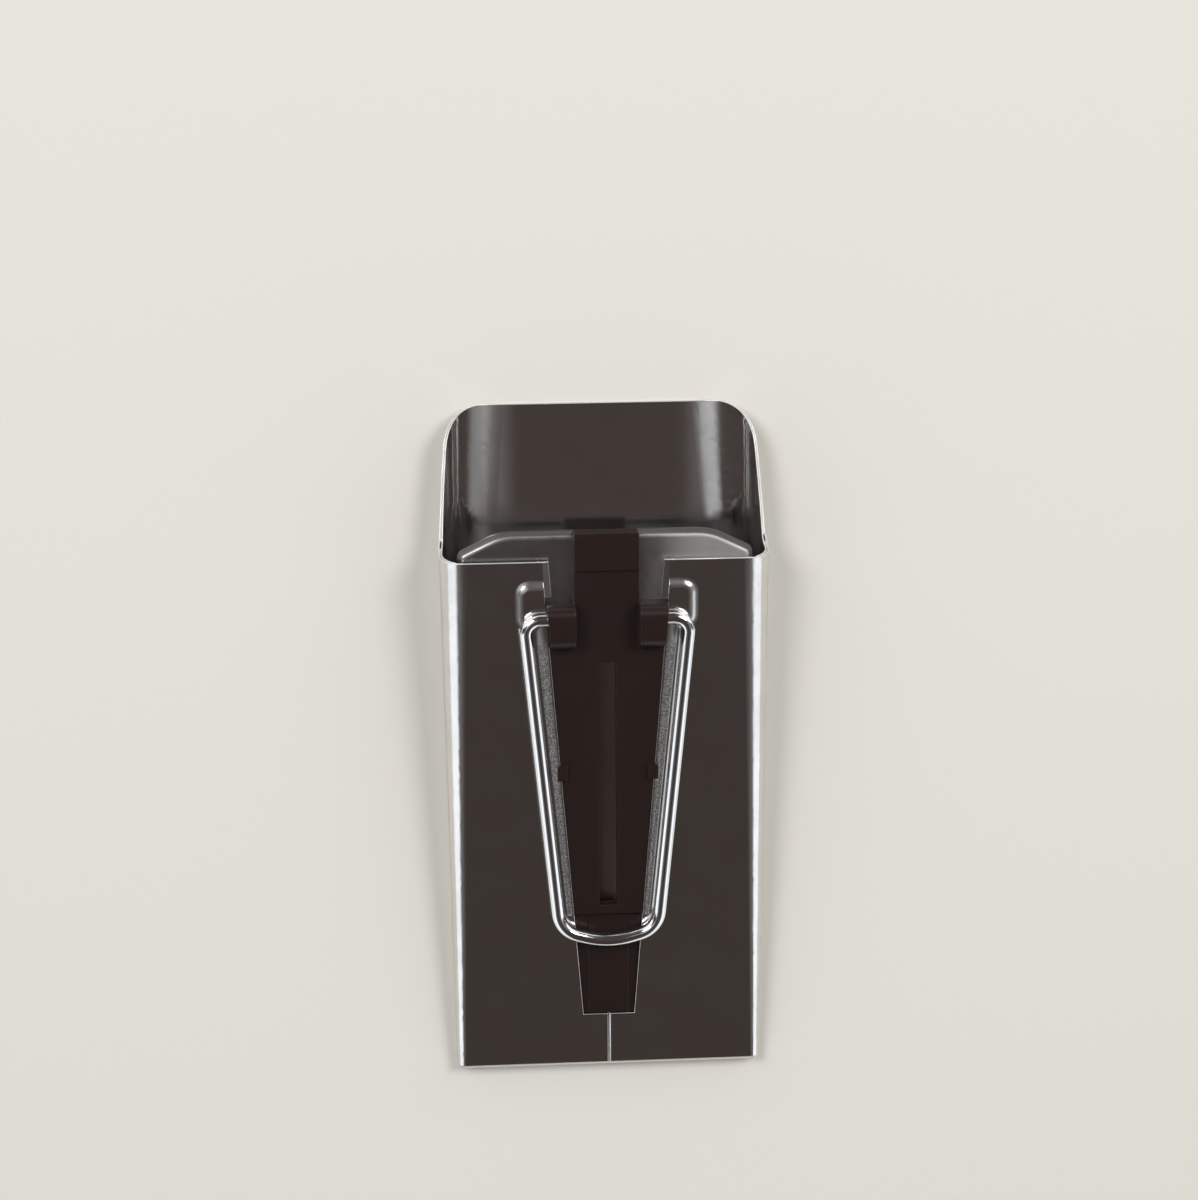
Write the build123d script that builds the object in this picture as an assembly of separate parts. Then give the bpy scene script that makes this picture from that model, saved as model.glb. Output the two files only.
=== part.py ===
from build123d import *
import math
import os

# Bias tape maker for 50 mm tape, lying on its base.
# +X is across the tape, +Y runs from the exit to the lip, +Z is up.
# "station" is a distance along Y from the exit end of the flaps, and "along" is the same
# distance measured up the slope of the flaps. "lift" is a height square to the flaps.

# The tape and the clearances that the cloth needs
TAPE_WIDTH = 50.0
CLOTH = 0.5                # at each side of the guide plate
SIDE_PLAY = 0.8            # of the tape in the exit
CLOTH_GAP = 0.9            # above and below the guide plate at the exit

# Folded outer body
SHEET = 0.5
EXIT_SIDE_FLAT = 0.2       # straight part of the side between its two bends
MOUTH_FLARE = 1.5          # widening on each side from the exit to the mouth
MOUTH_HEIGHT = 14.5
MOUTH_LOW_BEND = 9.6
MOUTH_SIDE_FLAT = 0.4
FLAP_LENGTH = 87.0
LIP_LENGTH = 25.5
LEDGE_LENGTH = 1.2         # of the base past the flaps' exit end
LEDGE_TOE = 0.08           # thickness left at the tip of the ledge's bevel
LEDGE_BEVEL = 39.0
CHEEK_DROP = 0.8           # cheek: the side's cut edge from the flaps down to the lip's rim
CHEEK_REACH = 2.0
CHEEK_FOOT = 7.7
CHEEK_ROUND = 2.6
CHEEK_RISE = 5.2           # of the side's cut edge over the lip's rim, square to the bend
RIM_FALL = 0.127           # of the lip's rim per mm away from the mouth
LIP_CORNER = 8.5

# V opening between the flaps
V_MOUTH_HALF = 10.7
V_BOTTOM_HALF = 4.37
V_BOTTOM_STATION = 8.6
SEAM_WIDTH = 0.36
CURL_RADIUS = 0.6
CURL_ANGLE = 9.0
CURL_FLAT = 1.05
CURL_LENGTH = 6.0
FLANGE_DROP = 0.3

# Raised shoulders beside the V opening: a narrow bead with a wider pad at its front
SHOULDER_LIFT = 0.4
BEAD_REAR_WIDTH = 1.25
BEAD_FRONT_WIDTH = 2.28
BEAD_SLOPE = 0.85          # share of the bead's width that slopes
PAD_WIDTH = 4.9
PAD_LENGTH = 9.0
PAD_SETBACK = 2.9          # behind the mouth
PAD_SLOPE = 1.8
PAD_TOP_ROUND = 0.9
FOOT_SINK = 0.004          # of a raised form's foot into the sheet

# Inner guide plate
GUIDE_SHEET = 0.6
GUIDE_ROUND = 1.3
GUIDE_SKIRT = 0.4          # straight part of the rim below its rounding
GUIDE_REACH = 4.7          # out of the mouth
GUIDE_END = 1.5            # station of its rear end
GUIDE_NOSE_RUN = 7.0       # of the slant at each front corner, along the front and down the side
GUIDE_NOSE_DROP = 3.4
GUIDE_KNEE = 10.0          # radius between the front and the slant
GUIDE_CORNER = 1.6         # radius between the slant and the side
GUIDE_TAIL_CORNER = 3.0
BASE_GAP = 0.6

# Black centre holder
HOLDER_GAP = 0.1           # to the sheet all round
TAIL_DROP = 0.6
RIB_INSET = 0.97
RIB_LIFT = 0.2
CROWN_LIFT = 0.3
TONGUE_HALF = 5.35
TONGUE_STEP = 0.5
TONGUE_HEAD = 6.2
HOOK_TOE = 2.4
HOOK_TOE_DEPTH = 1.0
NOTCH_GAP = 0.1
BOSS_WIDTH = 4.55
BOSS_AHEAD = 2.4           # of the pivot
BOSS_BEHIND = 5.0          # the pivot
BOSS_WALL = 0.9            # over the bore
BOSS_END_WALL = 1.1        # behind the bore
BOSS_REAR_ROUND = 2.6
BOSS_FRONT_ROUND = 1.8
SLOT_WIDTH = 3.0
SLOT_REAR_LAND = 1.5
SLOT_FRONT_LAND = 2.7
SLOT_ROUND = 0.5
SNAP_SETBACK = 26.5        # behind the pivot
SNAP_LENGTH = 2.4
SNAP_REACH = 0.6
SNAP_THICK = 0.45
SNAP_POST = 0.9
PEG_DIAMETER = 2.4
PEG_HEAD = 4.0
PEG_HEAD_THICK = 0.6
PEG_GAP = 0.05
REAR_PEG_AHEAD = 5.9       # of the V's rear end
FRONT_PEG_BEHIND = 1.7     # the pivot

# Wire handle, folded down over the flaps
WIRE_DIAMETER = 2.2
WIRE_RUNNING_GAP = 0.05
WIRE_OVER_SHOULDER = 0.2
WIRE_REST_GAP = 0.15
WIRE_SIDE_GAP = 0.35
PIVOT_SETBACK = 9.3        # behind the mouth
HANDLE_END_STATION = 22.2  # of the wire's middle
END_TO_SHOULDER = 4.0
END_TO_CROWN = 4.3
HANDLE_ARC_ANGLE = 16.0    # half the turn of the shallow arc at the free end
HANDLE_ARC_RADIUS = 14.0
HANDLE_CORNER = 4.5
ELBOW_RADIUS = 2.4

# How far cutters and blanks reach, and how close a corner or an edge lies to where it is looked for
FAR = 200.0
NEAR = 0.05

# Values that follow from the ones above
EXIT_WIDTH = TAPE_WIDTH + SIDE_PLAY + 2 * SHEET
EXIT_HEIGHT = 2 * SHEET + 2 * CLOTH_GAP + GUIDE_SHEET
EXIT_BEND = (EXIT_HEIGHT - EXIT_SIDE_FLAT) / 2
MOUTH_WIDTH = EXIT_WIDTH + 2 * MOUTH_FLARE
MOUTH_TOP_BEND = MOUTH_HEIGHT - MOUTH_SIDE_FLAT - MOUTH_LOW_BEND
TILT = math.atan2(MOUTH_HEIGHT - EXIT_HEIGHT, FLAP_LENGTH)
LIP_TIP = FLAP_LENGTH + LIP_LENGTH
BODY_CENTRE = (LIP_TIP - LEDGE_LENGTH) / 2
RIM_START = (MOUTH_WIDTH / 2 + CHEEK_FOOT) / math.sqrt(2)
GUIDE_TOP = -(SHEET + CLOTH_GAP)
GUIDE_FLOOR = GUIDE_TOP - GUIDE_SHEET
GUIDE_RIM = GUIDE_TOP - GUIDE_ROUND - GUIDE_SKIRT
GUIDE_HALF = TAPE_WIDTH / 2 - CLOTH
GUIDE_FRONT = FLAP_LENGTH + GUIDE_REACH
NOTCH_DEPTH = GUIDE_ROUND
PIVOT_STATION = FLAP_LENGTH - PIVOT_SETBACK
PIVOT_LIFT = SHOULDER_LIFT + WIRE_OVER_SHOULDER + WIRE_DIAMETER / 2
SHOULDER_END = HANDLE_END_STATION + END_TO_SHOULDER
PAD_FRONT = FLAP_LENGTH - PAD_SETBACK
PAD_REAR = PAD_FRONT - PAD_LENGTH
PAD_CORNER = PAD_TOP_ROUND + PAD_SLOPE
CROWN_START = HANDLE_END_STATION + END_TO_CROWN
BOSS_BACK = PIVOT_STATION - BOSS_BEHIND
BOSS_FRONT = PIVOT_STATION + BOSS_AHEAD
BORE_DIAMETER = WIRE_DIAMETER + 2 * WIRE_RUNNING_GAP
BOSS_TOP = PIVOT_LIFT + BORE_DIAMETER / 2 + BOSS_WALL
SLOT_START = CROWN_START + SLOT_REAR_LAND
SLOT_END = BOSS_BACK - SLOT_FRONT_LAND
SNAP_STATION = PIVOT_STATION - SNAP_SETBACK
PEG_STATIONS = (V_BOTTOM_STATION + REAR_PEG_AHEAD, PIVOT_STATION - FRONT_PEG_BEHIND)


def along(station):
    """Slope length of a station."""
    return station / math.cos(TILT)


def blend(station, at_exit, at_mouth):
    """A body size at a station: it changes evenly from the exit to the mouth, and on past both."""
    return at_exit + (at_mouth - at_exit) * station / FLAP_LENGTH


def v_half(station):
    """Half the width of the V opening at a station."""
    share = (station - V_BOTTOM_STATION) / (FLAP_LENGTH - V_BOTTOM_STATION)
    return V_BOTTOM_HALF + (V_MOUTH_HALF - V_BOTTOM_HALF) * share


def shoulder_foot(station):
    """Outer foot of a shoulder's bead, just inside the folded handle's leg."""
    share = (station - SHOULDER_END) / (PAD_REAR + PAD_CORNER - SHOULDER_END)
    return v_half(station) + BEAD_REAR_WIDTH + (BEAD_FRONT_WIDTH - BEAD_REAR_WIDTH) * share


def leg_half(station):
    """Half the distance between the centres of the folded handle's legs at a station."""
    return shoulder_foot(station) + WIRE_SIDE_GAP + WIRE_DIAMETER / 2


def flap_plane(lift=0.0):
    """Plane of the flaps' top faces, raised by lift, with its Y axis up the slope."""
    normal = Vector(0, -math.sin(TILT), math.cos(TILT))
    return Plane(origin=Vector(0, 0, EXIT_HEIGHT) + normal * lift, x_dir=(1, 0, 0), z_dir=normal)


def side_plane(x=0.0):
    """Plane across the tool at x, with its X axis along the stations and its Y axis up."""
    return Plane(origin=(x, 0, 0), x_dir=(0, 1, 0), z_dir=(1, 0, 0))


def slope_side_plane(x=0.0):
    """Plane across the tool at x, with its X axis up the slope and its Y axis square to it."""
    return Plane(origin=(x, 0, EXIT_HEIGHT), x_dir=(0, math.cos(TILT), math.sin(TILT)), z_dir=(1, 0, 0))


def polygon(points):
    """Closed flat face through the points."""
    return make_face(Polyline(*points, close=True))


def slab(outline, bottom, top):
    """Solid over an outline drawn on the flaps, from one lift to another."""
    return extrude(flap_plane(bottom) * outline, top - bottom)


def top_edges(solid, lift):
    """Edges of a solid that lie at a lift."""
    plane = flap_plane(lift)
    return [e for e in solid.edges() if abs(plane.to_local_coords(e.center()).Z) < NEAR]


def both_sides(right):
    """A right-hand solid with its mirror image."""
    return right + mirror(right, about=Plane.YZ)


# Outer body


def body_section(station, inset):
    """Edges of the folded sheet's section at a station, set in by inset."""
    half = blend(station, EXIT_WIDTH, MOUTH_WIDTH) / 2 - inset
    low = inset
    high = blend(station, EXIT_HEIGHT, MOUTH_HEIGHT) - inset
    low_bend = blend(station, EXIT_BEND, MOUTH_LOW_BEND) - inset
    top_bend = blend(station, EXIT_BEND, MOUTH_TOP_BEND) - inset
    low_line = Line((-half + low_bend, low), (half - low_bend, low))
    right_low = JernArc(low_line @ 1, (1, 0), low_bend, 90)
    right_side = Line(right_low @ 1, (half, high - top_bend))
    right_top = JernArc(right_side @ 1, (0, 1), top_bend, 90)
    top_line = Line(right_top @ 1, (-half + top_bend, high))
    left_top = JernArc(top_line @ 1, (-1, 0), top_bend, 90)
    left_side = Line(left_top @ 1, (-half, low + low_bend))
    left_low = JernArc(left_side @ 1, (0, -1), low_bend, 90)
    ring = [low_line, right_low, right_side, right_top, top_line, left_top, left_side, left_low]
    plane = Plane(origin=(0, station, 0), x_dir=(1, 0, 0), z_dir=(0, -1, 0))
    return [plane * edge for edge in ring]


def wall(near, far):
    """Face between matching edges of two sections: flat between lines, ruled between arcs."""
    if near.geom_type != GeomType.LINE:
        return Face.make_surface_from_curves(near, far)
    return make_face([near, Line(near @ 1, far @ 1), far, Line(far @ 0, near @ 0)]).face()


def tube(inset, start, end):
    """Solid inside the skin from one station to another."""
    near = body_section(start, inset)
    far = body_section(end, inset)
    walls = [wall(a, b) for a, b in zip(near, far)]
    return Solid(Shell([make_face(near).face(), make_face(far).face()] + walls))


def mouth_cutter():
    """What is cut off above the lip, with the rounded cheek at each side of the mouth."""
    points = [
        (FLAP_LENGTH, FAR),
        (FLAP_LENGTH, MOUTH_HEIGHT - CHEEK_DROP),
        (FLAP_LENGTH + CHEEK_REACH, CHEEK_FOOT),
        (FAR, CHEEK_FOOT),
        (FAR, FAR),
    ]
    outline = polygon(points)
    corners = [v for v in outline.vertices() if v.Y < FAR - NEAR and v.X < FAR - NEAR]
    return extrude(side_plane(-FAR / 2) * fillet(corners, CHEEK_ROUND), FAR)


def lip_corner_cutter():
    """What is cut off the right rim of the lip, drawn square to the middle of its side bend."""
    tangent = Vector(1, 0, 1).normalized()
    plane = Plane(origin=(0, 0, 0), x_dir=(0, 1, 0), z_dir=Vector(0, 1, 0).cross(tangent))
    foot = 1.5 * CHEEK_REACH
    outline = polygon([
        (FLAP_LENGTH, 0),
        (FLAP_LENGTH, RIM_START + CHEEK_RISE),
        (FLAP_LENGTH + foot, RIM_START - RIM_FALL * foot),
        (LIP_TIP, RIM_START - RIM_FALL * LIP_LENGTH),
        (LIP_TIP, 0),
    ])
    outline = fillet([v for v in outline.vertices() if abs(v.X - FLAP_LENGTH - foot) < NEAR], CHEEK_REACH)
    tip = [v for v in outline.vertices() if v.X > LIP_TIP - NEAR and v.Y > NEAR]
    outline = fillet(tip, LIP_CORNER)
    blank = polygon([(FLAP_LENGTH, SHEET), (FLAP_LENGTH, FAR), (FAR, FAR), (FAR, SHEET)])
    return extrude(plane * (blank - outline), FAR, both=True)


def ledge_cutter():
    """What is cut off above the bevelled ledge of the base at the exit."""
    rise = LEDGE_LENGTH * math.tan(math.radians(LEDGE_BEVEL))
    points = [
        (-LEDGE_LENGTH, LEDGE_TOE),
        (0, LEDGE_TOE + rise),
        (0, FAR),
        (-FAR, FAR),
        (-FAR, LEDGE_TOE),
    ]
    return extrude(side_plane(-FAR / 2) * polygon(points), FAR)


def v_cutter(margin=0.0):
    """The V opening, widened on each side by margin."""
    rear = v_half(V_BOTTOM_STATION) + margin
    front = v_half(LIP_TIP) + margin
    foot = along(V_BOTTOM_STATION) - margin
    outline = polygon([(-rear, foot), (rear, foot), (front, along(LIP_TIP)), (-front, along(LIP_TIP))])
    return slab(outline, -2 * SHEET, FAR)


def seam_cutter():
    """The narrow seam between the flaps, from the V opening to the exit."""
    length = along(V_BOTTOM_STATION) + 2 * SHEET
    outline = Pos(0, along(V_BOTTOM_STATION) / 2) * Rectangle(SEAM_WIDTH, length)
    return slab(outline, -2 * SHEET, SHEET)


def slope_face(flat, slope, drop, foot):
    """Half section of a raised form: a flat top, then a pressed slope down to the sheet, less drop."""
    top = SHOULDER_LIFT - drop
    turn = 2 * math.atan2(SHOULDER_LIFT + FOOT_SINK, slope)
    radius = slope / 2 / math.sin(turn)
    brow = JernArc((flat, top), (1, 0), radius, -math.degrees(turn))
    hollow = JernArc(brow @ 1, brow % 1, radius, math.degrees(turn))
    sides = Polyline(hollow @ 1, (flat + slope, foot), (0, foot), (0, top), brow @ 0)
    return make_face([brow, hollow, sides])


def shoulder_bead(drop, foot):
    """The right shoulder's narrow bead beside the V, from its rear end to the pad."""
    sections = []
    for station, width in ((SHOULDER_END, BEAD_REAR_WIDTH), (PAD_REAR + PAD_CORNER, BEAD_FRONT_WIDTH)):
        origin = flap_plane().from_local_coords((v_half(station), along(station), 0))
        across = Plane(origin=origin, x_dir=(1, 0, 0), z_dir=(0, -math.cos(TILT), -math.sin(TILT)))
        sections.append(across * slope_face(width * (1 - BEAD_SLOPE), width * BEAD_SLOPE, drop, foot))
    return loft(sections, ruled=True)


def shoulder_pad(drop, foot):
    """The right shoulder's wider pad: a low dome round a short flat, open towards the V."""
    inner = v_half(PAD_REAR)
    outer = v_half(PAD_FRONT) + PAD_WIDTH - PAD_CORNER
    rear = along(PAD_REAR + PAD_CORNER)
    front = along(PAD_FRONT - PAD_CORNER)
    face = slope_face(PAD_TOP_ROUND, PAD_SLOPE, drop, foot)
    dome = revolve(Plane.XZ * face, Axis.Z)
    ends = [Pos(outer, station) * dome for station in (rear, front)]
    side = extrude(Plane(origin=(outer, front, 0), x_dir=(1, 0, 0), z_dir=(0, -1, 0)) * face, front - rear)
    ahead = extrude(Plane(origin=(outer, front, 0), x_dir=(0, 1, 0), z_dir=(1, 0, 0)) * face, inner - outer)
    behind = extrude(Plane(origin=(outer, rear, 0), x_dir=(0, -1, 0), z_dir=(-1, 0, 0)) * face, outer - inner)
    middle = Pos((inner + outer) / 2, (rear + front) / 2) * Rectangle(outer - inner, front - rear)
    core = extrude(Pos(0, 0, foot) * middle, SHOULDER_LIFT - drop - foot)
    return flap_plane() * (core + side + ahead + behind + ends[0] + ends[1])


def shoulder():
    """The raised right shoulder as a solid lump, cut off along the V."""
    return shoulder_bead(0, -SHEET / 2) + shoulder_pad(0, -SHEET / 2) - v_cutter()


def shoulder_hollow():
    """Space under the right shoulder, one sheet thickness below it and clear of the V edge."""
    foot = -SHEET - CLOTH_GAP / 2
    return shoulder_bead(SHEET, foot) + shoulder_pad(SHEET, foot) - v_cutter(SHEET)


def v_flange():
    """Turned-down edge of the V beside the right shoulder."""
    rear = along(SHOULDER_END)
    front = along(FLAP_LENGTH - CURL_LENGTH)
    inner_rear = v_half(SHOULDER_END)
    inner_front = v_half(FLAP_LENGTH - CURL_LENGTH)
    outline = polygon([
        (inner_rear, rear),
        (inner_rear + SHEET, rear),
        (inner_front + SHEET, front),
        (inner_front, front),
    ])
    return slab(outline, -SHEET - FLANGE_DROP, -SHEET / 2)


def v_curl():
    """Rolled edge of the V at the mouth, which leads the cloth's edge in under the flap."""
    start = FLAP_LENGTH - CURL_LENGTH
    plane = flap_plane()
    corner = plane.from_local_coords((v_half(start), along(start), 0))
    run = plane.from_local_coords((v_half(FLAP_LENGTH), along(FLAP_LENGTH), 0)) - corner
    outer = JernArc((0, 0), (-1, 0), CURL_RADIUS, CURL_ANGLE)
    inner = JernArc((0, -SHEET), (-1, 0), CURL_RADIUS - SHEET, CURL_ANGLE)
    reach = (outer % 1) * CURL_FLAT
    edge = Polyline(outer @ 1, outer @ 1 + reach, inner @ 1 + reach, inner @ 1)
    root = Polyline(outer @ 0, (SHEET, 0), (SHEET, -SHEET), inner @ 0)
    across = Plane(origin=corner, x_dir=(1, 0, 0), z_dir=(0, -math.cos(TILT), -math.sin(TILT)))
    return extrude(across * make_face([outer, edge, inner, root]), run.length, dir=run.normalized())


def make_outer_body():
    """The one folded sheet: base, lip, side bends, flaps, shoulders and turned-in edges."""
    skin = tube(0, -LEDGE_LENGTH, LIP_TIP)
    space = tube(SHEET, -LEDGE_LENGTH - 1, LIP_TIP + 1)
    body = skin - space
    body -= mouth_cutter()
    body -= both_sides(lip_corner_cutter())
    body -= ledge_cutter()
    body -= v_cutter()
    body -= seam_cutter()
    body += both_sides(shoulder())
    body -= both_sides(shoulder_hollow())
    body += both_sides(v_flange())
    body += both_sides(v_curl())
    return body


# Inner guide


def guide_outline(margin):
    """Plan of the guide plate, set in by margin."""
    rear = along(GUIDE_END)
    front = along(GUIDE_FRONT)
    side_end = front - GUIDE_NOSE_DROP
    knee = GUIDE_HALF - GUIDE_NOSE_RUN
    right = [(GUIDE_HALF, rear), (GUIDE_HALF, side_end), (knee, front)]
    left = [(-x, y) for x, y in reversed(right)]
    outline = polygon(right + left)
    outline = fillet([v for v in outline.vertices() if v.Y > front - NEAR], GUIDE_KNEE)
    outline = fillet([v for v in outline.vertices() if abs(v.Y - side_end) < NEAR], GUIDE_CORNER)
    outline = fillet([v for v in outline.vertices() if v.Y < rear + NEAR], GUIDE_TAIL_CORNER)
    return offset(outline, -margin) if margin else outline


def guide_pan(margin, top, bottom, rounding):
    """Block under the guide's plan with its top edge rounded all round."""
    block = slab(guide_outline(margin), bottom, top)
    return fillet(top_edges(block, top), rounding)


def base_cutter():
    """Everything lower than the cloth's gap over the base."""
    outline = polygon([(-FAR, -FAR), (FAR, -FAR), (FAR, SHEET + BASE_GAP), (-FAR, SHEET + BASE_GAP)])
    return extrude(side_plane(-FAR / 2) * outline, FAR)


def awl_slot(bottom, top):
    """The long slot for the awl's point."""
    outline = RectangleRounded(SLOT_WIDTH, along(SLOT_END - SLOT_START), SLOT_ROUND)
    return slab(Pos(0, along(SLOT_START + SLOT_END) / 2) * outline, bottom, top)


def peg_column(diameter, bottom, top):
    """One upright disc at each peg's place."""
    discs = [Pos(0, along(station)) * Circle(diameter / 2) for station in PEG_STATIONS]
    return slab(Sketch() + discs, bottom, top)


def hook_notch():
    """Plan of the guide's front notch, where the holder's tongue hooks round it."""
    half = TONGUE_HALF + NOTCH_GAP
    front = along(GUIDE_FRONT)
    back = front - NOTCH_DEPTH
    return polygon([(-half, back), (half, back), (half, front + NOTCH_DEPTH), (-half, front + NOTCH_DEPTH)])


def make_inner_guide():
    """The guide plate with its rolled-down rim, awl slot, front notch and peg holes."""
    below = GUIDE_RIM - GUIDE_SKIRT
    guide = guide_pan(0, GUIDE_TOP, GUIDE_RIM, GUIDE_ROUND)
    guide -= guide_pan(GUIDE_SHEET, GUIDE_FLOOR, below, GUIDE_ROUND - GUIDE_SHEET)
    guide -= base_cutter()
    guide -= awl_slot(below, 0)
    guide -= peg_column(PEG_DIAMETER + 2 * PEG_GAP, below, 0)
    guide -= slab(hook_notch(), below, 0)
    return guide


# Centre holder


def holder_plan(start, end, margin):
    """Plan of the holder between two stations, inside the V opening by margin."""
    rear = v_half(start) - margin
    front = v_half(end) - margin
    return polygon([(-rear, along(start)), (rear, along(start)), (front, along(end)), (-front, along(end))])


def boss_face():
    """Distance of a boss's outer wall from the middle at the pivot."""
    return v_half(PIVOT_STATION) - HOLDER_GAP


def boss():
    """Right pivot boss: rounded front and rear in side view, cut off along the V edge."""
    rear = along(BOSS_BACK)
    front = along(BOSS_FRONT)
    outline = polygon([(rear, 0), (rear, BOSS_TOP), (front, BOSS_TOP), (front, 0)])
    high = [v for v in outline.vertices() if v.Y > BOSS_TOP - NEAR]
    outline = fillet([v for v in high if v.X < rear + NEAR], BOSS_REAR_ROUND)
    high = [v for v in outline.vertices() if v.Y > BOSS_TOP - NEAR]
    outline = fillet([v for v in high if v.X > front - NEAR], BOSS_FRONT_ROUND)
    block = extrude(slope_side_plane(boss_face() - BOSS_WIDTH) * outline, 2 * BOSS_WIDTH)
    return block & slab(holder_plan(BOSS_BACK, BOSS_FRONT, HOLDER_GAP), 0, BOSS_TOP)


def bore():
    """Blind hole in the right boss for the wire's end."""
    inner = boss_face() - BOSS_WIDTH + BOSS_END_WALL
    centre = slope_side_plane(inner) * Pos(along(PIVOT_STATION), PIVOT_LIFT)
    return extrude(centre * Circle(BORE_DIAMETER / 2), 2 * BOSS_WIDTH)


def snap():
    """Right snap hook: a post inside the V edge with a nub over the shoulder."""
    middle = along(SNAP_STATION)
    face = v_half(SNAP_STATION) - HOLDER_GAP
    inner = face - SNAP_POST
    tip = face + HOLDER_GAP + SNAP_REACH
    under = SHOULDER_LIFT + HOLDER_GAP
    top = under + SNAP_THICK
    post = Pos((inner + tip) / 2, middle) * Rectangle(tip - inner, SNAP_LENGTH)
    inside = holder_plan(SNAP_STATION - SNAP_LENGTH, SNAP_STATION + SNAP_LENGTH, HOLDER_GAP)
    return slab(post & inside, 0, top) + slab(post, under, top)


def tongue():
    """Front tongue over the guide, with the head and toe that hook round the guide's notch."""
    back = along(BOSS_FRONT) - BOSS_AHEAD
    front = along(GUIDE_FRONT)
    wall_back = front - NOTCH_DEPTH + NOTCH_GAP
    toe_back = wall_back - HOOK_TOE
    head_back = front - TONGUE_HEAD
    head_top = CROWN_LIFT + TONGUE_STEP
    toe_bottom = GUIDE_FLOOR - HOOK_TOE_DEPTH
    outline = polygon([
        (back, GUIDE_TOP),
        (back, CROWN_LIFT),
        (head_back, CROWN_LIFT),
        (head_back, head_top),
        (front, head_top),
        (front, toe_bottom),
        (toe_back, toe_bottom),
        (toe_back, GUIDE_FLOOR),
        (wall_back, GUIDE_FLOOR),
        (wall_back, GUIDE_TOP),
    ])
    return extrude(slope_side_plane(-TONGUE_HALF) * outline, 2 * TONGUE_HALF)


def tail_rib(start, end):
    """Raised flat along the middle of the holder's tail."""
    plan = Rectangle(2 * (V_BOTTOM_HALF - RIB_INSET), along(end - start))
    return slab(Pos(0, along(start + end) / 2) * plan, -TAIL_DROP, RIB_LIFT - TAIL_DROP)


def make_centre_holder():
    """The black moulding that fills the V and carries the guide and the handle."""
    tail_start = V_BOTTOM_STATION + HOLDER_GAP
    holder = slab(holder_plan(tail_start, CROWN_START, HOLDER_GAP), GUIDE_TOP, -TAIL_DROP)
    holder += slab(holder_plan(CROWN_START, BOSS_FRONT, HOLDER_GAP), GUIDE_TOP, CROWN_LIFT)
    holder += tail_rib(tail_start, CROWN_START)
    holder += tongue()
    holder += both_sides(boss())
    holder += both_sides(snap())
    holder += peg_column(PEG_DIAMETER, GUIDE_FLOOR, GUIDE_TOP)
    holder += peg_column(PEG_HEAD, GUIDE_FLOOR - PEG_HEAD_THICK, GUIDE_FLOOR)
    holder -= both_sides(bore())
    holder -= awl_slot(GUIDE_TOP, BOSS_TOP)
    return holder


# Wire handle


def pivot_point():
    """Middle of the handle's pivot line."""
    return flap_plane().from_local_coords((0, along(PIVOT_STATION), PIVOT_LIFT))


def handle_length():
    """Distance from the pivot to the middle of the folded handle's end."""
    return along(PIVOT_STATION) - along(HANDLE_END_STATION)


def handle_plane():
    """Plane of the folded handle: origin at the pivot, Y axis towards the free end."""
    drop = PIVOT_LIFT - WIRE_DIAMETER / 2 - WIRE_REST_GAP
    angle = TILT + math.atan2(drop, handle_length())
    return Plane(origin=pivot_point(), x_dir=(1, 0, 0), z_dir=(0, math.sin(angle), -math.cos(angle)))


def handle_path():
    """Centre line of the wire, from one inturned end round to the other."""
    end = boss_face() - BOSS_WIDTH + BOSS_END_WALL + WIRE_RUNNING_GAP
    top = leg_half(PIVOT_STATION)
    fall = (top - leg_half(HANDLE_END_STATION)) / handle_length()
    rise = math.radians(HANDLE_ARC_ANGLE)
    middle = handle_length() + HANDLE_ARC_RADIUS * (1 / math.cos(rise) - 1)
    corner_half = (top - fall * middle) / (1 - fall * math.tan(rise))
    corner = middle - corner_half * math.tan(rise)
    points = [
        (-end, 0),
        (-top, 0),
        (-corner_half, corner),
        (0, middle),
        (corner_half, corner),
        (top, 0),
        (end, 0),
    ]
    radii = [ELBOW_RADIUS, HANDLE_CORNER, HANDLE_ARC_RADIUS, HANDLE_CORNER, ELBOW_RADIUS]
    return handle_plane() * FilletPolyline(*points, radius=radii)


def make_wire_handle():
    """The bent wire handle, folded down."""
    path = handle_path()
    start = Plane(origin=path @ 0, z_dir=path % 0)
    return sweep(start * Circle(WIRE_DIAMETER / 2), path=path)


def export(node, solid):
    """Moves a node to the tool's own frame and writes it."""
    placed = Pos(0, -BODY_CENTRE, 0) * solid
    export_step(placed, f"parts/{node}.step")
    box = placed.bounding_box()
    print(node, "solids", len(placed.solids()), "volume", round(placed.volume, 1), box.min, box.max)


os.makedirs("parts", exist_ok=True)
pieces = {
    "outer_body": make_outer_body,
    "inner_guide": make_inner_guide,
    "centre_holder": make_centre_holder,
    "wire_handle": make_wire_handle,
}
for node, make in pieces.items():
    export(node, make())
pivot = pivot_point()
print("pivot", round(pivot.Y - BODY_CENTRE, 3), round(pivot.Z, 3))
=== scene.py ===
import math

import bmesh
import bpy
from mathutils import Matrix, Vector


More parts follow.
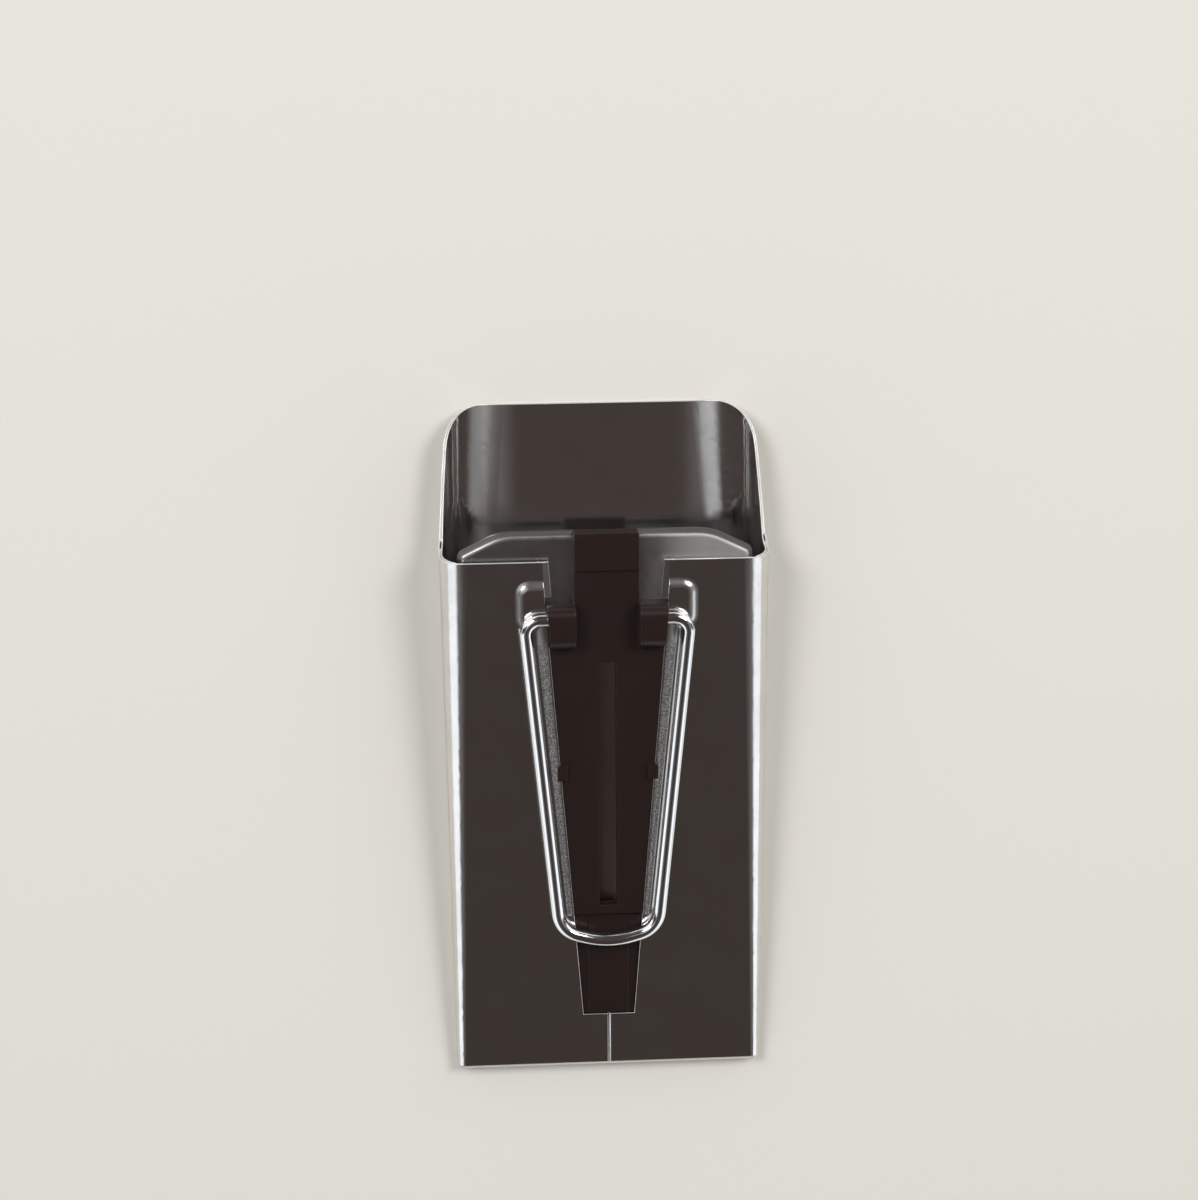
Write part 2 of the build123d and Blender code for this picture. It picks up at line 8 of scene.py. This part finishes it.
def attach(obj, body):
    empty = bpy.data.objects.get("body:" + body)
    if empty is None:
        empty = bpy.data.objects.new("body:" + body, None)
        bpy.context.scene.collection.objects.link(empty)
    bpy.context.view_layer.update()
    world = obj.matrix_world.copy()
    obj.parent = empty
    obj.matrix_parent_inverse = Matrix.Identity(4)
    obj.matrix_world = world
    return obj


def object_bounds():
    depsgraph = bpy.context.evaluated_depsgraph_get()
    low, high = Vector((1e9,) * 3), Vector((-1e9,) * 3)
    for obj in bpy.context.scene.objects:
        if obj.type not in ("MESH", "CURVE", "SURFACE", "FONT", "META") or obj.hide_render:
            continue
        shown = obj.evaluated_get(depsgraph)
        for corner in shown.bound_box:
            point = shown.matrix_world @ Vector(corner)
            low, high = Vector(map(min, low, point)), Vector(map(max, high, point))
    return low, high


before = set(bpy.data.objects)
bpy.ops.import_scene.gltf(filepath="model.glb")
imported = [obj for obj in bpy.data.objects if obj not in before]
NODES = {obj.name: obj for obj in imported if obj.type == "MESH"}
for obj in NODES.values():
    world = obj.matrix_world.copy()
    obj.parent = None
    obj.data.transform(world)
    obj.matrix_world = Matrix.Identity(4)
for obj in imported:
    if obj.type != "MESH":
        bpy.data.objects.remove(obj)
CAD_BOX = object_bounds()
MM = 0.001


def mm(*lengths):
    """Lengths given in millimetres, in metres."""
    return [length * MM for length in lengths]


def degrees(*angles):
    """Angles given in degrees, in radians."""
    return [math.radians(angle) for angle in angles]


def beside(place, *offsets):
    """Places at offsets in millimetres from a place."""
    return [place + offset for offset in mm(*offsets)]


# Sizes of the folded body and the guide, as in their solids
# A station is a distance along Y from the exit end of the flaps.

SHEET = 0.5 * MM
FLAP_LENGTH = 87.0 * MM
FLAP_TILT = math.radians(7.27)
EXIT_HEIGHT = 3.4 * MM
LEDGE_LENGTH = 1.2 * MM                          # of the base past the flaps' exit end
SEAM_WIDTH = 0.36 * MM
CUT_OUT_STATION = 8.6 * MM
SHOULDER_STATION = 26.2 * MM
PAD_STATION = 75.1 * MM                          # of the wide pads' rear ends
GUIDE_LIFT = -1.4 * MM                           # of its top face, from the flaps' top faces

EXIT_Y = CAD_BOX[0][1] + LEDGE_LENGTH
MOUTH_Y = EXIT_Y + FLAP_LENGTH
FLAP_NORMAL = Vector((0, -math.sin(FLAP_TILT), math.cos(FLAP_TILT)))
FLAP_POINT = Vector((0, EXIT_Y, EXIT_HEIGHT))    # on the flaps' top faces, at the exit


# Where the finish of the sheets changes

RAISED_LIFT = mm(0.003, 0.02)                    # heights above the flaps that count as raised
LEANING = (0.995, 0.9999)                        # cosines of a slope's lean away from the flaps
CREST_SHARE = 0.3                                # of the slopes' coarseness, on the crests
BEADS_END = beside(EXIT_Y + PAD_STATION, -3.45, -0.45)          # along Y
LIP_START = beside(MOUTH_Y, 1.65, 10.65)         # along Y
LIP_TROUGH = mm(12, 17, 19, 22)                  # across, on both sides
INNER_BASE_HEIGHT = beside(SHEET, -0.3, -0.05, 0.05, 0.2)
INNER_BASE_END = beside(MOUTH_Y, -11.35, -3.35)  # along Y
GUIDE_RIM_LIFT = beside(GUIDE_LIFT, -0.22, -0.03)
GUIDE_BRUSHED = mm(4, 16)                        # across, where the brushed finish sets in


# Camera at the photograph's viewing angle, nearly straight down on the flaps

YAW = math.radians(4.266)
PITCH = math.radians(6.170)
ROLL = math.radians(-0.914)
AIM = Vector((-0.616, 23.889, 5.0)) * MM
CAMERA_DISTANCE = 512.997 * MM
CLIP_START = 10 * MM
FOCAL_PIXELS = 3058.8
IMAGE_WIDTH = 1198
SENSOR = 36.0


def make_camera():
    away = Vector((
        -math.sin(YAW) * math.cos(PITCH),
        math.sin(PITCH),
        math.cos(YAW) * math.cos(PITCH),
    ))
    side = Vector((0, 1, 0)).cross(away).normalized()
    top = away.cross(side)
    right = math.cos(ROLL) * side + math.sin(ROLL) * top
    up = -math.sin(ROLL) * side + math.cos(ROLL) * top
    data = bpy.data.cameras.new("camera")
    data.sensor_fit = "HORIZONTAL"
    data.sensor_width = SENSOR
    data.lens = FOCAL_PIXELS * SENSOR / IMAGE_WIDTH
    data.clip_start = CLIP_START
    camera = bpy.data.objects.new("camera", data)
    turn = Matrix((right, up, away)).transposed().to_4x4()
    camera.matrix_world = Matrix.Translation(AIM + away * CAMERA_DISTANCE) @ turn
    bpy.context.scene.collection.objects.link(camera)
    bpy.context.scene.camera = camera


# Shader helpers


def add(tree, kind, inputs=None, **settings):
    """A node with its settings, and its inputs set to a value or linked to a socket."""
    made = tree.nodes.new(kind)
    for key, value in settings.items():
        setattr(made, key, value)
    for key, value in (inputs or {}).items():
        if isinstance(value, bpy.types.NodeSocket):
            tree.links.new(value, made.inputs[key])
        else:
            made.inputs[key].default_value = value
    return made


def calc(tree, operation, *values):
    return add(tree, "ShaderNodeMath", dict(enumerate(values)), operation=operation).outputs[0]


def dot(tree, first, second):
    inputs = {0: first, 1: second}
    return add(tree, "ShaderNodeVectorMath", inputs, operation="DOT_PRODUCT").outputs["Value"]


def coordinates(tree, vector):
    return add(tree, "ShaderNodeSeparateXYZ", {"Vector": vector}).outputs


def ramp(tree, value, low, high, start=0.0, end=1.0, kind="SMOOTHSTEP"):
    """Goes from start at value low to end at value high, and stays there beyond."""
    inputs = {"Value": value, "From Min": low, "From Max": high, "To Min": start, "To Max": end}
    return add(tree, "ShaderNodeMapRange", inputs, interpolation_type=kind).outputs[0]


def band(tree, value, start, full, fade, end, most=1.0):
    """Rises from 0 at start to its most at full, and falls back to 0 between fade and end."""
    rise = ramp(tree, value, start, full, end=most)
    fall = ramp(tree, value, fade, end, start=1.0, end=0.0)
    return calc(tree, "MULTIPLY", rise, fall)


def level(tree, mask, start, end):
    """A value that goes straight from start to end as the mask goes from 0 to 1."""
    return ramp(tree, mask, 0.0, 1.0, start, end, kind="LINEAR")


def raised_by(tree, value, *parts):
    """The value, raised by an amount times each mask."""
    for mask, amount in parts:
        value = calc(tree, "ADD", value, calc(tree, "MULTIPLY", mask, amount))
    return value


def mix_value(tree, factor, first, second):
    inputs = {"Factor": factor, 2: first, 3: second}      # a Mix node's two number inputs
    return add(tree, "ShaderNodeMix", inputs).outputs[0]


def mix_colour(tree, factor, first, second):
    inputs = {"Factor": factor, 6: first, 7: second}      # a Mix node's two colour inputs
    return add(tree, "ShaderNodeMix", inputs, data_type="RGBA").outputs[2]


def noise(tree, where, scale, detail=3.0, roughness=0.6):
    """Noise with about as many bumps per metre as its scale."""
    inputs = {"Vector": where, "Scale": scale, "Detail": detail, "Roughness": roughness}
    return add(tree, "ShaderNodeTexNoise", inputs).outputs[0]


def lines(tree, where, x, y, z):
    """Noise with its own scale along each axis, drawn out into lines where that is low."""
    drawn = add(tree, "ShaderNodeMapping", {"Vector": where, "Scale": (x, y, z)}).outputs[0]
    return noise(tree, drawn, scale=1.0)


def bump(tree, height, strength, distance, normal=None):
    """The normal, roughened by a height: distance is the height's size in metres."""
    inputs = {"Strength": strength, "Distance": distance, "Height": height}
    if normal is not None:
        inputs["Normal"] = normal
    return add(tree, "ShaderNodeBump", inputs).outputs[0]


def soft_edges(tree, radius):
    """A normal that turns evenly round sharp edges."""
    return add(tree, "ShaderNodeBevel", {"Radius": radius}, samples=6).outputs[0]


NOISE_SPREAD = (0.3, 0.7)                        # between which nearly all noise lies
SECOND_COLOUR = (0.35, 0.7)                      # noise between which the second colour sets in


def clouded(tree, cloud, low, high):
    """A value that drifts between two levels with the cloud."""
    return ramp(tree, cloud, *NOISE_SPREAD, start=low, end=high, kind="LINEAR")


def clouded_colour(tree, cloud, first, second):
    return mix_colour(tree, ramp(tree, cloud, *SECOND_COLOUR), first, second)


def new_material(name, values):
    """A material with its node tree and its shader, whose even values are set on its sockets."""
    material = bpy.data.materials.new(name)
    material.use_nodes = True
    tree = material.node_tree
    tree.nodes.clear()
    shader = tree.nodes.new("ShaderNodeBsdfPrincipled")
    for key, value in values.items():
        shader.inputs[key].default_value = value
    out = tree.nodes.new("ShaderNodeOutputMaterial")
    tree.links.new(shader.outputs[0], out.inputs["Surface"])
    return material, tree, shader


def connect(tree, shader, colour, roughness, normal):
    """Gives a shader the three inputs that vary over the surface."""
    tree.links.new(colour, shader.inputs["Base Color"])
    tree.links.new(roughness, shader.inputs["Roughness"])
    tree.links.new(normal, shader.inputs["Normal"])


def object_place(tree):
    return tree.nodes.new("ShaderNodeTexCoord").outputs["Object"]


def dress(node, material):
    for slot in NODES[node].material_slots:
        slot.material = material


# Masks for the plated sheet and the guide


def flap_lift(tree, place):
    """Height of a point above the plane of the flaps' top faces, square to it."""
    return calc(tree, "SUBTRACT", dot(tree, place, FLAP_NORMAL), FLAP_POINT.dot(FLAP_NORMAL))


def raised_masks(tree, place):
    """1 on the shoulders' pressed slopes, and the coarseness of the beads behind the pads.

    The slopes stand above the flaps and lean away from them.
    """
    raised = ramp(tree, flap_lift(tree, place), *RAISED_LIFT)
    facing = dot(tree, tree.nodes.new("ShaderNodeNewGeometry").outputs["Normal"], FLAP_NORMAL)
    slopes = calc(tree, "MULTIPLY", raised, ramp(tree, facing, *LEANING, start=1.0, end=0.0))
    coarse = calc(tree, "MAXIMUM", slopes, calc(tree, "MULTIPLY", raised, CREST_SHARE))
    behind = ramp(tree, coordinates(tree, place)["Y"], *BEADS_END, start=1.0, end=0.0)
    return slopes, calc(tree, "MULTIPLY", coarse, behind)


def lip_masks(tree, place):
    """1 on the lip, and 1 along its two troughs, where pressing left the plating duller."""
    point = coordinates(tree, place)
    lip = ramp(tree, point["Y"], *LIP_START)
    troughs = band(tree, calc(tree, "ABSOLUTE", point["X"]), *LIP_TROUGH)
    return lip, calc(tree, "MULTIPLY", troughs, lip)


def inner_base_mask(tree, place):
    """1 on the inner face of the base, back from the mouth, where the cloth has dulled it, and
    where a darker brown colour is painted shade for the dim strip seen through the slot.
    """
    point = coordinates(tree, place)
    face = band(tree, point["Z"], *INNER_BASE_HEIGHT)
    behind = ramp(tree, point["Y"], *INNER_BASE_END, start=1.0, end=0.0)
    return calc(tree, "MULTIPLY", face, behind)


# Materials

PLATING = (0.76, 0.745, 0.72, 1)
PLATING_CLOUD = (0.70, 0.685, 0.665, 1)
BEAD_PIT = (0.26, 0.25, 0.24, 1)
# painted shade: darker brown for the base's inner face, which lies in shade under the flaps
BASE_PAINTED_SHADE = (0.58, 0.43, 0.345, 1)
GUIDE_STEEL = (0.55, 0.54, 0.525, 1)
GUIDE_CLOUD = (0.48, 0.47, 0.455, 1)
# painted shade: dark colour for the guide's rolled rim, holding back its reflection of the lamps
GUIDE_RIM_PAINTED_SHADE = (0.15, 0.145, 0.14, 1)
MOULDING = (0.020, 0.0112, 0.0090, 1)
MOULDING_CLOUD = (0.016, 0.0088, 0.0068, 1)
WIRE = (0.82, 0.82, 0.81, 1)
WIRE_CLOUD = (0.76, 0.76, 0.755, 1)
BURNISHED = (0.86, 0.855, 0.84, 1)
BURNISHED_CLOUD = (0.74, 0.73, 0.71, 1)


def plated_sheet():
    """Mirror plating with faint waves and draw lines, coarser where the sheet was pressed, and
    with painted shade darkening the inner face of the base.
    """
    material, tree, shader = new_material("plated_sheet_look", {"Metallic": 1.0})
    place = object_place(tree)
    slopes, beads = raised_masks(tree, place)
    lip, troughs = lip_masks(tree, place)
    inner_base = inner_base_mask(tree, place)
    cloud = noise(tree, place, scale=140, detail=4.0)
    grain = noise(tree, place, scale=4200, detail=2.0)
    wave = noise(tree, place, scale=60, detail=1.0, roughness=0.5)
    draw_lines = lines(tree, place, x=5200, y=260, z=5200)

    pressed = calc(tree, "MAXIMUM", slopes, troughs)
    coarse = raised_by(tree, level(tree, pressed, start=0.04, end=0.45), (beads, 0.5))
    normal = soft_edges(tree, radius=0.12 * MM)
    normal = bump(tree, wave, strength=1.0, distance=0.02 * MM, normal=normal)
    normal = bump(tree, grain, strength=coarse, distance=0.012 * MM, normal=normal)
    normal = bump(tree, draw_lines, strength=0.08, distance=0.01 * MM, normal=normal)

    clean = clouded(tree, cloud, low=0.12, high=0.19)
    clean = calc(tree, "MULTIPLY", clean, level(tree, lip, start=1.0, end=0.5))
    dulled = raised_by(
        tree, clean, (slopes, 0.04), (troughs, 0.14), (inner_base, 0.3), (beads, 0.2))

    colour = clouded_colour(tree, cloud, PLATING, PLATING_CLOUD)
    pits = calc(tree, "MULTIPLY", beads, ramp(tree, grain, low=0.38, high=0.58))
    colour = mix_colour(tree, pits, colour, BEAD_PIT)
    # painted shade: the inner base under the flaps is darkened towards brown; its raised roughness
    # above is real dulling
    colour = mix_colour(tree, inner_base, colour, BASE_PAINTED_SHADE)
    connect(tree, shader, colour, dulled, normal)
    return material


def guide_sheet():
    """Satin steel, brushed across on the right, with painted shade darkening its rolled rim, which
    is also rougher.
    """
    material, tree, shader = new_material("guide_sheet_look", {"Metallic": 1.0})
    place = object_place(tree)
    brushed = ramp(tree, coordinates(tree, place)["X"], *GUIDE_BRUSHED)
    # 1 on the rolled rim, where painted shade darkens the colour and the roughness is raised
    shaded_rim = ramp(tree, flap_lift(tree, place), *GUIDE_RIM_LIFT, start=1.0, end=0.0)
    cloud = noise(tree, place, scale=180, detail=4.0)
    brush_lines = lines(tree, place, x=300, y=6000, z=6000)

    strength = level(tree, brushed, start=0.15, end=0.6)
    normal = soft_edges(tree, radius=0.12 * MM)
    normal = bump(tree, brush_lines, strength=strength, distance=0.01 * MM, normal=normal)
    clean = clouded(tree, cloud, low=0.2, high=0.28)
    worn = raised_by(tree, clean, (brushed, 0.26), (shaded_rim, 0.25))
    colour = clouded_colour(tree, cloud, GUIDE_STEEL, GUIDE_CLOUD)
    # painted shade: the rolled rim's colour is darkened towards near black
    colour = mix_colour(tree, shaded_rim, colour, GUIDE_RIM_PAINTED_SHADE)
    connect(tree, shader, colour, worn, normal)
    return material


def black_moulding():
    """Satin black plastic with the mould's fine grain."""
    material, tree, shader = new_material("black_moulding_look", {"Specular IOR Level": 0.35})
    place = object_place(tree)
    cloud = noise(tree, place, scale=200)
    grain = noise(tree, place, scale=3200)
    normal = soft_edges(tree, radius=0.2 * MM)
    normal = bump(tree, grain, strength=0.15, distance=0.01 * MM, normal=normal)
    colour = clouded_colour(tree, cloud, MOULDING, MOULDING_CLOUD)
    connect(tree, shader, colour, clouded(tree, cloud, low=0.3, high=0.42), normal)
    return material


def bright_wire():
    """Bright plated wire with faint draw lines."""
    material, tree, shader = new_material("bright_wire_look", {"Metallic": 1.0})
    place = object_place(tree)
    cloud = noise(tree, place, scale=260)
    draw_lines = lines(tree, place, x=4000, y=180, z=4000)
    normal = bump(tree, draw_lines, strength=0.03, distance=0.01 * MM)
    colour = clouded_colour(tree, cloud, WIRE, WIRE_CLOUD)
    connect(tree, shader, colour, clouded(tree, cloud, low=0.07, high=0.12), normal)
    return material


def burnished_edge():
    """The cut edge's metal, rubbed pale and slightly nicked."""
    material, tree, shader = new_material("burnished_edge_look", {"Metallic": 0.6})
    place = object_place(tree)
    cloud = noise(tree, place, scale=500)
    nicks = noise(tree, place, scale=1500)
    normal = bump(tree, nicks, strength=0.12, distance=0.015 * MM)
    colour = clouded_colour(tree, cloud, BURNISHED, BURNISHED_CLOUD)
    connect(tree, shader, colour, clouded(tree, cloud, low=0.3, high=0.42), normal)
    return material


# Thin trim, the burnished burr along the sheet's cut edges

SAME_POINT = 0.0005 * MM
SHARP = math.radians(50)
FACES_UP = 0.3                                   # least Z of a face's normal
FACES_SIDEWAYS = 0.5                             # least X of a face's normal, either way
NEAR = 0.08 * MM                                 # how close an edge lies to where it is looked for
SHORT_OF = 0.3 * MM                              # how far a stretch of edges stops from its end
CUT_OUT_HALF_WIDTH = 6 * MM                      # which takes in its widest place


def on_lip_rim(middle, normals):
    """Edges of the lip's rim and of the mouth, but for those under the base."""
    if middle.y < MOUTH_Y - SHORT_OF or middle.z < SHEET / 2:
        return False
    return any(
        normal.z > FACES_UP or abs(normal.x) > FACES_SIDEWAYS for normal in normals)


def on_seam(middle, normals):
    """Upper edge of the seam's right side."""
    at_side = abs(middle.x - SEAM_WIDTH / 2) < NEAR
    behind = middle.y < EXIT_Y + CUT_OUT_STATION - SHORT_OF
    return at_side and behind and middle.z > EXIT_HEIGHT - SHEET / 2


def on_cut_out(middle, normals):
    """Upper edges of the cut-out and the seam's left side, behind the shoulders."""
    on_top = abs((middle - FLAP_POINT).dot(FLAP_NORMAL)) < NEAR
    behind = middle.y < EXIT_Y + SHOULDER_STATION - SHORT_OF
    inward = abs(middle.x) < CUT_OUT_HALF_WIDTH
    return on_top and behind and inward and not on_seam(middle, normals)


BURRS = (
    ("lip_rim_burr", on_lip_rim, 0.10 * MM),
    ("cut_out_burr", on_cut_out, 0.04 * MM),
    ("seam_burr", on_seam, 0.12 * MM),
)


def sharp_edges(node, keep):
    """Chains of points along a node's sharp edges that pass the test."""
    welded = bmesh.new()
    welded.from_mesh(NODES[node].data)
    bmesh.ops.remove_doubles(welded, verts=welded.verts, dist=SAME_POINT)
    ways = {}
    for edge in welded.edges:
        if len(edge.link_faces) != 2 or edge.calc_face_angle(0.0) < SHARP:
            continue
        first, second = edge.verts
        middle = (first.co + second.co) / 2
        if keep(middle, [face.normal for face in edge.link_faces]):
            ways.setdefault(first.index, []).append(second.index)
            ways.setdefault(second.index, []).append(first.index)
    points = {vertex.index: vertex.co.copy() for vertex in welded.verts if vertex.index in ways}
    welded.free()
    chains = []
    ends = [index for index in sorted(ways) if len(ways[index]) != 2]
    for start in ends + sorted(ways):
        while ways[start]:
            chain = [start]
            while ways[chain[-1]]:
                here = chain[-1]
                there = ways[here].pop()
                ways[there].remove(here)
                chain.append(there)
            chains.append([points[index] for index in chain])
    return chains


def inside(point, margin):
    """The point, moved in where it is nearer than the margin to the CAD box."""
    return Vector(
        min(max(value, low + margin), high - margin)
        for value, low, high in zip(point, *CAD_BOX)
    )


def make_bead(name, chains, radius):
    """A thin round bead along chains of points, as one mesh."""
    curve = bpy.data.curves.new(name, "CURVE")
    curve.dimensions = "3D"
    curve.bevel_depth = radius
    curve.bevel_resolution = 2
    curve.use_fill_caps = True
    for chain in chains:
        line = curve.splines.new("POLY")
        line.points.add(len(chain) - 1)
        for target, point in zip(line.points, chain):
            target.co = (*inside(point, radius), 1)
    line_object = bpy.data.objects.new(name + "_line", curve)
    bpy.context.scene.collection.objects.link(line_object)
    mesh = bpy.data.meshes.new_from_object(line_object)
    bpy.data.objects.remove(line_object)
    for face in mesh.polygons:
        face.use_smooth = True
    piece = bpy.data.objects.new(name, mesh)
    bpy.context.scene.collection.objects.link(piece)
    return piece


def make_burrs(material):
    for name, keep, radius in BURRS:
        piece = make_bead(name, sharp_edges("outer_body", keep), radius)
        piece.data.materials.append(material)
        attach(piece, "tool")


# Stage

FLOOR_HALF = 2.5                                 # metres
FLOOR_DROP = 0.02 * MM
FLOOR_COLOUR = (0.80, 0.775, 0.70, 1)
FLOOR_SPECK = (0.7, 0.68, 0.62, 1)
SPECK_SHARE = 0.04


def make_floor():
    mesh = bpy.data.meshes.new("floor")
    low = CAD_BOX[0][2] - FLOOR_DROP
    around = ((-1, -1), (1, -1), (1, 1), (-1, 1))
    corners = [(x * FLOOR_HALF, y * FLOOR_HALF, low) for x, y in around]
    mesh.from_pydata(corners, [], [(0, 1, 2, 3)])
    floor = bpy.data.objects.new("floor", mesh)
    bpy.context.scene.collection.objects.link(floor)
    values = {"Roughness": 0.75, "Specular IOR Level": 0.2}
    material, tree, shader = new_material("floor_look", values)
    speck = noise(tree, object_place(tree), scale=900)
    speck = ramp(tree, speck, *NOISE_SPREAD, end=SPECK_SHARE)
    colour = mix_colour(tree, speck, FLOOR_COLOUR, FLOOR_SPECK)
    tree.links.new(colour, shader.inputs["Base Color"])
    mesh.materials.append(material)


# Light, whose angles across are from the zenith and elevations from the horizon

DARK_REAR = (0.0528, 0.0414, 0.0380, 1)
DARK_MIDDLE = (0.0683, 0.0549, 0.0510, 1)
BRIGHT_SKY = (1.22, 1.26, 1.34, 1)
REAR_TO_MIDDLE = (-0.34, -0.12)                  # along Y, of a direction of length 1
SIDE_BOX = degrees(38, 54)
EDGE_GLOW = degrees(8, 40)
EDGE_SHINE = 0.10
HORIZON = degrees(5, 13)
SKIRTING = degrees(2, 5)
HORIZON_SHINE = 0.72
GAP = (-0.22, -0.14, 0.12, 0.26)                 # along Y, of a direction of length 1
GAP_MIDDLE = (-0.01, 0.01)                       # along X, of a direction of length 1
LEFT_STRIP = degrees(1, 8, 24, 40)
LEFT_SHINE = 0.38
RIGHT_STRIP = degrees(20, 44, 52, 70)
RIGHT_SHINE = 0.15
LAMP_PLACE = Vector((0.62, 0.46, 1.02))          # metres, of the one at the right
LAMP_SIZE = 0.52                                 # metres across
LAMP_WATTS = 6.2


def make_world():
    """Bright soft boxes at both sides and a pale horizon round a dark band overhead.

    The boxes leave a gap at each side, level with the middle of the tool, that holds only a
    strip of light.
    """
    world = bpy.data.worlds.new("studio")
    bpy.context.scene.world = world
    world.use_nodes = True
    tree = world.node_tree
    tree.nodes.clear()
    way = tree.nodes.new("ShaderNodeTexCoord").outputs["Generated"]
    x, y, z = coordinates(tree, way)
    across = calc(tree, "ARCTAN2", calc(tree, "ABSOLUTE", x), z)
    elevation = calc(tree, "ARCSINE", z)

    side = ramp(tree, across, *SIDE_BOX)
    edge = ramp(tree, across, *EDGE_GLOW, end=EDGE_SHINE)
    horizon = ramp(tree, elevation, *HORIZON, start=HORIZON_SHINE, end=0.0)
    boxes = calc(tree, "MAXIMUM", calc(tree, "MAXIMUM", side, edge), horizon)

    left = band(tree, across, *LEFT_STRIP, most=LEFT_SHINE)
    right = band(tree, across, *RIGHT_STRIP, most=RIGHT_SHINE)
    strip = mix_value(tree, ramp(tree, x, *GAP_MIDDLE), left, right)
    light = mix_value(tree, band(tree, y, *GAP), boxes, strip)
    skirting = ramp(tree, elevation, *SKIRTING, start=HORIZON_SHINE, end=0.0)
    light = calc(tree, "MAXIMUM", light, skirting)

    dark = mix_colour(tree, ramp(tree, y, *REAR_TO_MIDDLE), DARK_REAR, DARK_MIDDLE)
    colour = mix_colour(tree, light, dark, BRIGHT_SKY)
    glow = add(tree, "ShaderNodeBackground", {"Color": colour, "Strength": 1.0})
    out = tree.nodes.new("ShaderNodeOutputWorld")
    tree.links.new(glow.outputs[0], out.inputs["Surface"])


def make_lamp(name, side):
    """A round lamp ahead of the tool, at its left where side is -1 or its right where it is 1."""
    data = bpy.data.lights.new(name, "AREA")
    data.shape = "DISK"
    data.size = LAMP_SIZE
    data.energy = LAMP_WATTS
    lamp = bpy.data.objects.new(name, data)
    lamp.location = LAMP_PLACE * Vector((side, 1, 1))
    lamp.rotation_euler = (-lamp.location).to_track_quat("-Z", "Y").to_euler()
    bpy.context.scene.collection.objects.link(lamp)


make_camera()
make_floor()
make_world()
make_lamp("front_left", -1)
make_lamp("front_right", 1)
dress("outer_body", plated_sheet())
dress("inner_guide", guide_sheet())
dress("centre_holder", black_moulding())
dress("wire_handle", bright_wire())
make_burrs(burnished_edge())

bpy.context.scene.view_settings.view_transform = "Standard"
